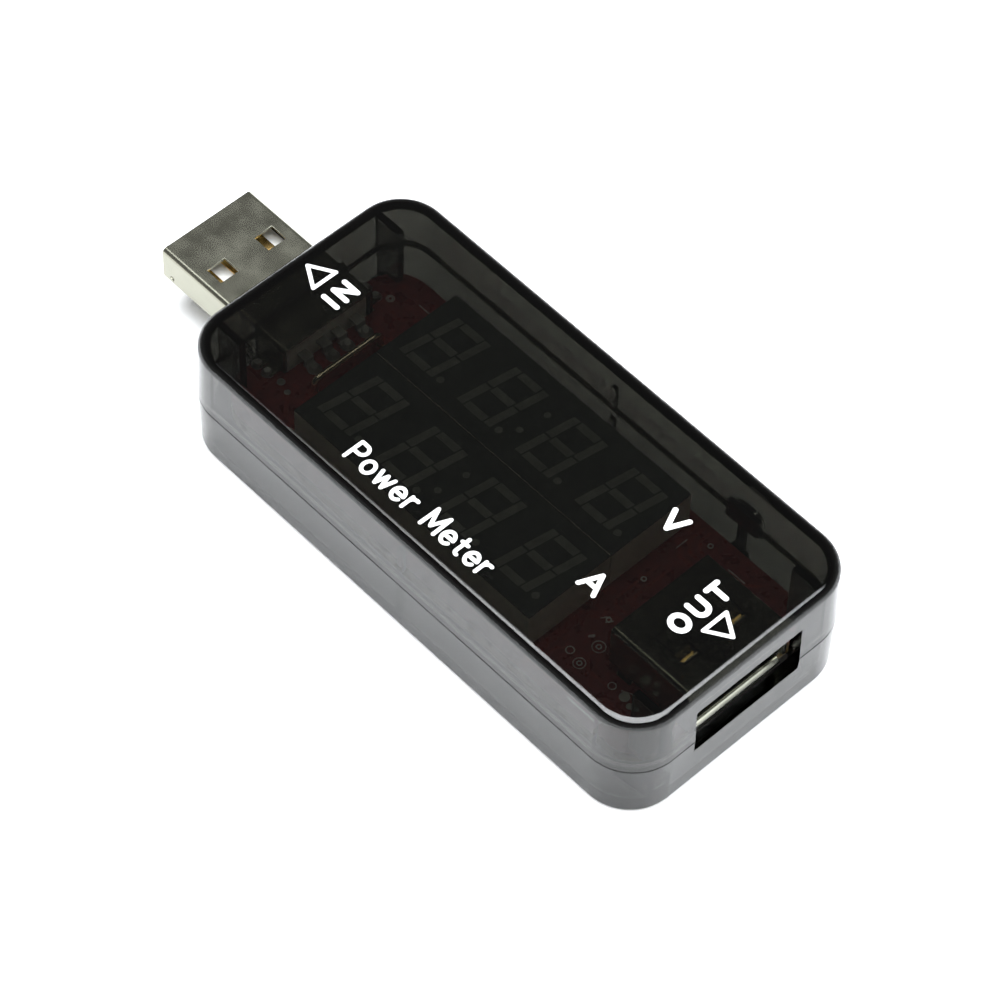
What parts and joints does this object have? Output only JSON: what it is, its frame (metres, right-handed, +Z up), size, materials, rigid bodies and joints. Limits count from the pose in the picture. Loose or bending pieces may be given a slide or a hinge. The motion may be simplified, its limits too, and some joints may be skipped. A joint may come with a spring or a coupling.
{
  "type": "usb power meter",
  "caption": "In-line voltage and current meter with a rectangular plug, a matching socket, twin seven-segment displays and a side button in a smoked translucent case.",
  "frame": {"origin": "on the resting face, below the middle of the overall length and width", "axes": "+Z up out of the display side, +X from the plug towards the socket"},
  "size_m": [0.0786, 0.031, 0.0148],
  "materials": {
    "smoked_plastic_upper": "glossy translucent smoke-black polycarbonate",
    "smoked_plastic_lower": "glossy translucent smoke-black polycarbonate",
    "board_red": "red solder mask over glass-fibre laminate",
    "nickel_plated_steel": "satin nickel plate on steel",
    "gold_plated_spring": "pale gold plated spring steel",
    "gold_plated_contact": "gold plate",
    "plug_plastic": "moulded off-white plastic",
    "socket_plastic": "moulded black plastic",
    "solder": "bright solder",
    "shunt_alloy": "drawn manganin wire",
    "display_housing": "moulded warm grey plastic",
    "display_mask": "printed dark face film",
    "display_segments": "unlit grey diffusing resin",
    "tinned_lead": "tin plate",
    "ic_epoxy": "black moulding compound",
    "chip_resistor": "black glazed film",
    "chip_capacitor": "fired ceramic",
    "button_plastic": "glossy black plastic",
    "switch_plastic": "black moulded plastic",
    "plunger_plastic": "off-white plastic"
  },
  "bodies": {
    "root": {"upper_shell": "smoked_plastic_upper", "lower_shell": "smoked_plastic_lower", "circuit_board": "board_red", "plug_shell": "nickel_plated_steel", "plug_insulator": "plug_plastic", "plug_contacts": "gold_plated_contact", "plug_solder": "solder", "current_shunt": "shunt_alloy", "display_v_housing": "display_housing", "display_v_mask": "display_mask", "display_v_segments": "display_segments", "display_v_pins": "tinned_lead", "display_a_housing": "display_housing", "display_a_mask": "display_mask", "display_a_segments": "display_segments", "display_a_pins": "tinned_lead", "display_solder": "solder", "socket_shell": "nickel_plated_steel", "socket_insulator": "socket_plastic", "socket_tails": "gold_plated_contact", "socket_solder": "solder", "controller_body": "ic_epoxy", "controller_leads": "tinned_lead", "regulator_body": "ic_epoxy", "regulator_leads": "tinned_lead", "chip_resistors": "chip_resistor", "chip_capacitors": "chip_capacitor", "chip_terminals": "tinned_lead", "switch_body": "switch_plastic", "switch_dome": "gold_plated_contact", "switch_terminals": "tinned_lead"},
    "button": {"side_button": "button_plastic", "switch_plunger": "plunger_plastic"},
    "socket_contact_1": {"socket_contact_1": "gold_plated_contact"},
    "socket_contact_2": {"socket_contact_2": "gold_plated_contact"},
    "socket_contact_3": {"socket_contact_3": "gold_plated_contact"},
    "socket_contact_4": {"socket_contact_4": "gold_plated_contact"},
    "socket_spring_upper_near": {"socket_spring_upper_near": "gold_plated_spring"},
    "socket_spring_upper_far": {"socket_spring_upper_far": "gold_plated_spring"},
    "socket_spring_lower_near": {"socket_spring_lower_near": "gold_plated_spring"},
    "socket_spring_lower_far": {"socket_spring_lower_far": "gold_plated_spring"}
  },
  "joints": [
    {"name": "side_button_press", "type": "slide", "parent": "root", "child": "button", "axis": [0, -1, 0], "range_m": [0, 0.00025], "stiffness_N_per_m": 4000},
    {"name": "socket_contact_1_flex", "type": "hinge", "parent": "root", "child": "socket_contact_1", "pos_m": [0.02965, 0, 0.00955], "axis": [0, -1, 0], "range_deg": [0, 5], "stiffness_Nm_per_rad": 0.04},
    {"name": "socket_contact_2_flex", "type": "hinge", "parent": "root", "child": "socket_contact_2", "pos_m": [0.02965, 0, 0.00955], "axis": [0, -1, 0], "range_deg": [0, 5], "stiffness_Nm_per_rad": 0.04},
    {"name": "socket_contact_3_flex", "type": "hinge", "parent": "root", "child": "socket_contact_3", "pos_m": [0.02965, 0, 0.00955], "axis": [0, -1, 0], "range_deg": [0, 5], "stiffness_Nm_per_rad": 0.04},
    {"name": "socket_contact_4_flex", "type": "hinge", "parent": "root", "child": "socket_contact_4", "pos_m": [0.02965, 0, 0.00955], "axis": [0, -1, 0], "range_deg": [0, 5], "stiffness_Nm_per_rad": 0.04},
    {"name": "socket_spring_upper_near_flex", "type": "hinge", "parent": "root", "child": "socket_spring_upper_near", "pos_m": [0.0306, 0, 0.01155], "axis": [0, -1, 0], "range_deg": [0, 5], "stiffness_Nm_per_rad": 0.08},
    {"name": "socket_spring_upper_far_flex", "type": "hinge", "parent": "root", "child": "socket_spring_upper_far", "pos_m": [0.0306, 0, 0.01155], "axis": [0, -1, 0], "range_deg": [0, 5], "stiffness_Nm_per_rad": 0.08},
    {"name": "socket_spring_lower_near_flex", "type": "hinge", "parent": "root", "child": "socket_spring_lower_near", "pos_m": [0.0306, 0, 0.00615], "axis": [0, 1, 0], "range_deg": [0, 5], "stiffness_Nm_per_rad": 0.08},
    {"name": "socket_spring_lower_far_flex", "type": "hinge", "parent": "root", "child": "socket_spring_lower_far", "pos_m": [0.0306, 0, 0.00615], "axis": [0, 1, 0], "range_deg": [0, 5], "stiffness_Nm_per_rad": 0.08}
  ]
}
